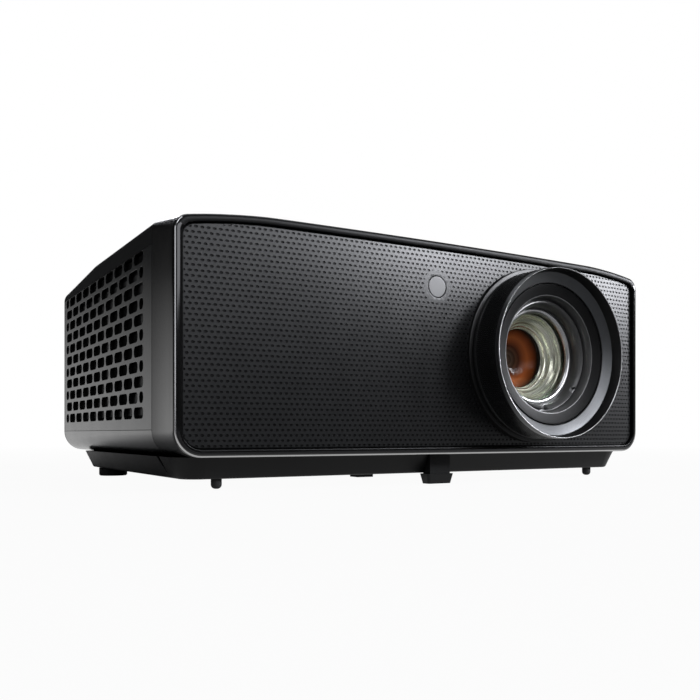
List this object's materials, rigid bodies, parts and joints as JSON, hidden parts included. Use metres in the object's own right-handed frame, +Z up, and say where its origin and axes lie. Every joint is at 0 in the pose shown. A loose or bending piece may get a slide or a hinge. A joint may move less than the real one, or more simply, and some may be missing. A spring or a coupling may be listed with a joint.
{
  "type": "home projector",
  "caption": "Low boxy home projector with a bowed dotted front, an offset knurled focus lens, slotted side grilles, a plinth base and screw-out feet.",
  "frame": {"origin": "on the table, under the centre of the overall box", "axes": "+X towards the lens side along the front, -Y the way the lens points, +Z up"},
  "size_m": [0.337, 0.29, 0.143],
  "materials": {
    "bezel_gloss": "gloss black",
    "frame_satin": "satin black",
    "panel_dotted": "satin grey with fine dots",
    "sensor_smoke": "smoked, gloss",
    "grille_slate": "satin dark slate",
    "plinth_black": "fine-grained black",
    "ring_satin": "satin black, knurled",
    "cell_black": "matt black",
    "lens_silver": "bright turned",
    "front_glass": "coated, green to yellow",
    "amber_glass": "coated, amber",
    "rear_glass": "coated",
    "cast_metal": "cast",
    "sink_metal": "extruded",
    "board_green": "solder mask",
    "fan_black": "moulded",
    "motor_steel": "plain",
    "wheel_mirror": "coated disc",
    "socket_shell": "plated",
    "socket_black": "moulded",
    "keypad_black": "satin",
    "key_grey": "satin",
    "light_clear": "clear",
    "foot_rubber": "matt",
    "insert_brass": "plain"
  },
  "bodies": {
    "housing": {"front_bezel": "bezel_gloss", "front_frame": "frame_satin", "top_cover": "frame_satin", "bottom_case": "frame_satin", "rear_panel": "frame_satin", "lens_collar": "frame_satin", "front_panel": "panel_dotted", "sensor_window": "sensor_smoke", "side_grille_left": "grille_slate", "side_grille_right": "grille_slate", "base_plinth": "plinth_black", "lens_barrel": "cell_black", "rear_element": "rear_glass", "lens_mount": "cast_metal", "optical_engine": "cast_metal", "laser_module": "cast_metal", "chip_heatsink": "sink_metal", "laser_heatsink": "sink_metal", "imaging_board": "board_green", "power_board": "board_green", "main_board": "board_green", "keypad_board": "board_green", "intake_fan_frames": "fan_black", "exhaust_fan_frame": "fan_black", "speaker": "fan_black", "wheel_motor": "motor_steel", "case_screws": "motor_steel", "hdmi_sockets": "socket_shell", "usb_socket": "socket_shell", "network_socket": "socket_black", "audio_jacks": "socket_black", "mains_inlet": "socket_black", "keypad_plate": "keypad_black", "indicator_lights": "light_clear", "front_pegs": "foot_rubber", "mount_inserts": "insert_brass"},
    "focus_ring": {"focus_ring": "ring_satin"},
    "lens_cell": {"focus_cell": "cell_black", "retaining_ring": "lens_silver", "front_element": "front_glass", "lens_spacer": "lens_silver", "inner_element": "amber_glass"},
    "zoom_ring": {"zoom_ring": "cell_black"},
    "intake_rotor_front": {"intake_rotor_front": "fan_black"},
    "intake_rotor_rear": {"intake_rotor_rear": "fan_black"},
    "exhaust_rotor": {"exhaust_rotor": "fan_black"},
    "colour_wheel": {"colour_wheel": "wheel_mirror"},
    "elevator_foot": {"elevator_foot": "plinth_black"},
    "foot_release": {"foot_release": "plinth_black"},
    "rear_stud_left": {"rear_stud_left": "motor_steel"},
    "rear_pad_left": {"rear_pad_left": "foot_rubber"},
    "rear_stud_right": {"rear_stud_right": "motor_steel"},
    "rear_pad_right": {"rear_pad_right": "foot_rubber"},
    "power_key": {"power_key": "key_grey"},
    "menu_key": {"menu_key": "key_grey"},
    "enter_key": {"enter_key": "key_grey"},
    "up_key": {"up_key": "key_grey"},
    "down_key": {"down_key": "key_grey"},
    "left_key": {"left_key": "key_grey"},
    "right_key": {"right_key": "key_grey"}
  },
  "joints": [
    {"name": "focus_turn", "type": "hinge", "parent": "housing", "child": "focus_ring", "pos_m": [0.0644, -0.145, 0.0792], "axis": [0, 1, 0], "range_deg": [-45, 45]},
    {"name": "cell_slide", "type": "slide", "parent": "housing", "child": "lens_cell", "axis": [0, 1, 0], "range_m": [-0.0012, 0.0012]},
    {"name": "zoom_turn", "type": "hinge", "parent": "housing", "child": "zoom_ring", "pos_m": [0.0644, -0.088, 0.0792], "axis": [0, 1, 0], "range_deg": [-12, 12]},
    {"name": "intake_front_spin", "type": "hinge", "parent": "housing", "child": "intake_rotor_front", "pos_m": [-0.15, -0.014, 0.0805], "axis": [1, 0, 0], "continuous": true},
    {"name": "intake_rear_spin", "type": "hinge", "parent": "housing", "child": "intake_rotor_rear", "pos_m": [-0.15, 0.069, 0.0805], "axis": [1, 0, 0], "continuous": true},
    {"name": "exhaust_spin", "type": "hinge", "parent": "housing", "child": "exhaust_rotor", "pos_m": [0.15, 0.081, 0.0805], "axis": [1, 0, 0], "continuous": true},
    {"name": "wheel_spin", "type": "hinge", "parent": "housing", "child": "colour_wheel", "pos_m": [0, -0.007, 0.0792], "axis": [1, 0, 0], "continuous": true},
    {"name": "elevator_slide", "type": "slide", "parent": "housing", "child": "elevator_foot", "axis": [0, 0, -1], "range_m": [0, 0.02]},
    {"name": "release_press", "type": "slide", "parent": "housing", "child": "foot_release", "axis": [0, 0, 1], "range_m": [0, 0.002], "stiffness_N_per_m": 400},
    {"name": "stud_slide_left", "type": "slide", "parent": "housing", "child": "rear_stud_left", "axis": [0, 0, -1], "range_m": [0, 0.005]},
    {"name": "pad_turn_left", "type": "hinge", "parent": "rear_stud_left", "child": "rear_pad_left", "pos_m": [-0.1447, 0.093, 0], "axis": [0, 0, -1], "range_deg": [0, 1440]},
    {"name": "stud_slide_right", "type": "slide", "parent": "housing", "child": "rear_stud_right", "axis": [0, 0, -1], "range_m": [0, 0.005]},
    {"name": "pad_turn_right", "type": "hinge", "parent": "rear_stud_right", "child": "rear_pad_right", "pos_m": [0.1447, 0.093, 0], "axis": [0, 0, -1], "range_deg": [0, 1440]},
    {"name": "power_key_press", "type": "slide", "parent": "housing", "child": "power_key", "axis": [0, 0, -1], "range_m": [0, 0.0008], "stiffness_N_per_m": 800},
    {"name": "menu_key_press", "type": "slide", "parent": "housing", "child": "menu_key", "axis": [0, 0, -1], "range_m": [0, 0.0008], "stiffness_N_per_m": 800},
    {"name": "enter_key_press", "type": "slide", "parent": "housing", "child": "enter_key", "axis": [0, 0, -1], "range_m": [0, 0.0008], "stiffness_N_per_m": 800},
    {"name": "up_key_press", "type": "slide", "parent": "housing", "child": "up_key", "axis": [0, 0, -1], "range_m": [0, 0.0008], "stiffness_N_per_m": 800},
    {"name": "down_key_press", "type": "slide", "parent": "housing", "child": "down_key", "axis": [0, 0, -1], "range_m": [0, 0.0008], "stiffness_N_per_m": 800},
    {"name": "left_key_press", "type": "slide", "parent": "housing", "child": "left_key", "axis": [0, 0, -1], "range_m": [0, 0.0008], "stiffness_N_per_m": 800},
    {"name": "right_key_press", "type": "slide", "parent": "housing", "child": "right_key", "axis": [0, 0, -1], "range_m": [0, 0.0008], "stiffness_N_per_m": 800}
  ],
  "couplings": [
    {"joint": "cell_slide", "follows": "focus_turn", "m_per_rad": 0.0015},
    {"joint": "stud_slide_left", "follows": "pad_turn_left", "m_per_rad": 0.00019894},
    {"joint": "stud_slide_right", "follows": "pad_turn_right", "m_per_rad": 0.00019894}
  ]
}
